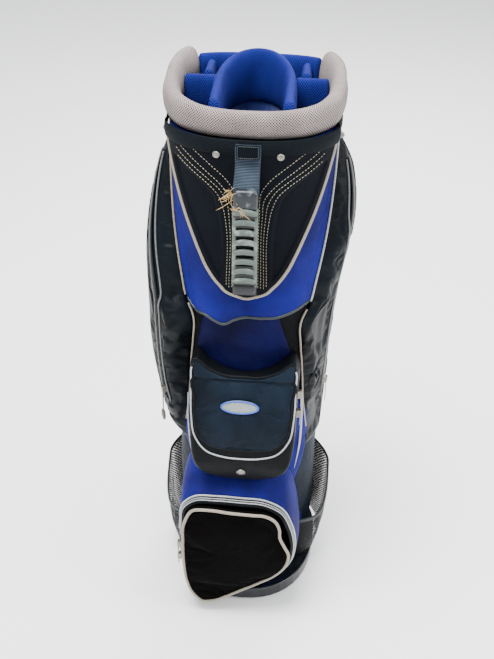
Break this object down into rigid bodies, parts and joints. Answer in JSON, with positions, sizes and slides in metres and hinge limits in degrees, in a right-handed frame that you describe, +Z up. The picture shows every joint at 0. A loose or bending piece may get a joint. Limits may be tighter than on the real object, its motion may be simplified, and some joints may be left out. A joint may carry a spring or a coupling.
{
  "type": "golf cart bag",
  "caption": "Golf bag with a padded divided top, a moulded front shield with a rigid grip, zipped front and side pockets, mesh bottle pockets and a moulded base.",
  "frame": {"origin": "on the ground under the body's vertical axis, at the underside of the base", "axes": "+Z up, the front of the bag faces -Y, +X to the right of a person who faces its front"},
  "size_m": [0.315, 0.333, 0.9298],
  "materials": {
    "black_polyester": "coated woven polyester, slightly shiny",
    "blue_polyester": "woven polyester, matt",
    "blue_mesh": "padded spacer mesh",
    "grey_mesh": "padded spacer mesh",
    "navy_foam": "heat-moulded foam with a woven face",
    "lining": "thin brushed lining on a plastic sheet",
    "webbing": "woven webbing",
    "black_plastic": "moulded, fine grain",
    "grey_rubber": "moulded, satin",
    "zinc": "zinc plated",
    "glass_fibre": "drawn glass fibre rod"
  },
  "bodies": {
    "bag": {"back_pad": "black_polyester", "ball_pocket_body": "black_polyester", "base_tray": "black_plastic", "bottle_pocket_left": "black_polyester", "bottle_pocket_right": "black_polyester", "central_well_rail": "blue_mesh", "central_well_wall": "lining", "collar_pad": "grey_mesh", "cross_rail_left": "blue_mesh", "cross_rail_right": "blue_mesh", "cross_wall_left": "lining", "cross_wall_right": "lining", "front_rivet_left": "zinc", "front_rivet_right": "zinc", "garment_pocket_left": "black_polyester", "garment_pocket_right": "black_polyester", "grip_bar": "black_plastic", "grip_sleeve": "grey_rubber", "grip_strap": "webbing", "lower_panel": "blue_polyester", "middle_pocket_body": "black_polyester", "rear_handle": "webbing", "rear_rail_left": "blue_mesh", "rear_rail_pad": "blue_mesh", "rear_rail_right": "blue_mesh", "rear_wall_left": "lining", "rear_wall_right": "lining", "ring_tab_lower": "webbing", "ring_tab_upper": "webbing", "shell_back": "lining", "shell_front": "lining", "shell_left": "lining", "shell_right": "lining", "shield_panel": "navy_foam", "side_stud_left": "zinc", "side_stud_right": "zinc", "stay_rod_front_left": "glass_fibre", "stay_rod_front_right": "glass_fibre", "stay_rod_rear_left": "glass_fibre", "stay_rod_rear_right": "glass_fibre", "top_cuff": "black_plastic", "waist_panel": "blue_polyester", "yoke_panel": "blue_polyester"},
    "middle_flap": {"middle_pocket_flap": "black_polyester"},
    "ball_front": {"ball_pocket_front": "black_polyester"},
    "middle_zip_upper_slider": {"middle_zip_upper_slider": "zinc"},
    "middle_zip_upper_pull": {"middle_zip_upper_pull": "zinc"},
    "middle_zip_lower_slider": {"middle_zip_lower_slider": "zinc"},
    "middle_zip_lower_pull": {"middle_zip_lower_pull": "zinc"},
    "ball_zip_upper_slider": {"ball_zip_upper_slider": "zinc"},
    "ball_zip_upper_pull": {"ball_zip_upper_pull": "zinc"},
    "ball_zip_lower_slider": {"ball_zip_lower_slider": "zinc"},
    "ball_zip_lower_pull": {"ball_zip_lower_pull": "zinc"},
    "garment_zip_left_slider": {"garment_zip_left_slider": "zinc"},
    "garment_zip_left_pull": {"garment_zip_left_pull": "zinc"},
    "garment_zip_right_slider": {"garment_zip_right_slider": "zinc"},
    "garment_zip_right_pull": {"garment_zip_right_pull": "zinc"},
    "ring_upper": {"strap_ring_upper": "zinc"},
    "ring_lower": {"strap_ring_lower": "zinc"}
  },
  "joints": [
    {"name": "middle_flap_hinge", "type": "hinge", "parent": "bag", "child": "middle_flap", "pos_m": [0, -0.15136, 0.4865], "axis": [-1, 0, 0], "range_deg": [0, 110]},
    {"name": "ball_front_hinge", "type": "hinge", "parent": "bag", "child": "ball_front", "pos_m": [0, -0.1905, 0.021], "axis": [1, 0, 0], "range_deg": [0, 80]},
    {"name": "middle_zip_upper_slide", "type": "slide", "parent": "bag", "child": "middle_zip_upper_slider", "axis": [0, 0.2177, 0.976], "range_m": [0, 0.016]},
    {"name": "middle_zip_upper_pull_hinge", "type": "hinge", "parent": "middle_zip_upper_slider", "child": "middle_zip_upper_pull", "pos_m": [0.0905, -0.14782, 0.462], "axis": [0, -0.976, 0.2177], "range_deg": [0, 150]},
    {"name": "middle_zip_lower_slide", "type": "slide", "parent": "bag", "child": "middle_zip_lower_slider", "axis": [0, 0.2177, 0.976], "range_m": [-0.035, 0]},
    {"name": "middle_zip_lower_pull_hinge", "type": "hinge", "parent": "middle_zip_lower_slider", "child": "middle_zip_lower_pull", "pos_m": [0.0905, -0.15495, 0.43], "axis": [0, -0.976, 0.2177], "range_deg": [0, 150]},
    {"name": "ball_zip_upper_slide", "type": "slide", "parent": "bag", "child": "ball_zip_upper_slider", "axis": [0, 0, 1], "range_m": [0, 0.045]},
    {"name": "ball_zip_upper_pull_hinge", "type": "hinge", "parent": "ball_zip_upper_slider", "child": "ball_zip_upper_pull", "pos_m": [-0.1063, -0.183, 0.15], "axis": [0, 1, 0], "range_deg": [0, 150]},
    {"name": "ball_zip_lower_slide", "type": "slide", "parent": "bag", "child": "ball_zip_lower_slider", "axis": [0, 0, 1], "range_m": [-0.02, 0]},
    {"name": "ball_zip_lower_pull_hinge", "type": "hinge", "parent": "ball_zip_lower_slider", "child": "ball_zip_lower_pull", "pos_m": [-0.1063, -0.183, 0.121], "axis": [0, 1, 0], "range_deg": [0, 150]},
    {"name": "garment_zip_left_slide", "type": "slide", "parent": "bag", "child": "garment_zip_left_slider", "axis": [-0.0423, -0.0242, 0.9988], "range_m": [0, 0.19]},
    {"name": "garment_zip_left_pull_hinge", "type": "hinge", "parent": "garment_zip_left_slider", "child": "garment_zip_left_pull", "pos_m": [-0.13925, -0.0869, 0.40965], "axis": [-0.4968, 0.8678, 0], "range_deg": [0, 150]},
    {"name": "garment_zip_right_slide", "type": "slide", "parent": "bag", "child": "garment_zip_right_slider", "axis": [0.0673, -0.0103, 0.9977], "range_m": [0, 0.19]},
    {"name": "garment_zip_right_pull_hinge", "type": "hinge", "parent": "garment_zip_right_slider", "child": "garment_zip_right_pull", "pos_m": [0.13161, -0.03334, 0.4095], "axis": [-0.1517, -0.9884, 0], "range_deg": [0, 150]},
    {"name": "ring_upper_hinge", "type": "hinge", "parent": "bag", "child": "ring_upper", "pos_m": [0, 0.1135, 0.66], "axis": [1, 0, 0], "range_deg": [-3, 110]},
    {"name": "ring_lower_hinge", "type": "hinge", "parent": "bag", "child": "ring_lower", "pos_m": [0, 0.1135, 0.3], "axis": [1, 0, 0], "range_deg": [-3, 110]}
  ]
}
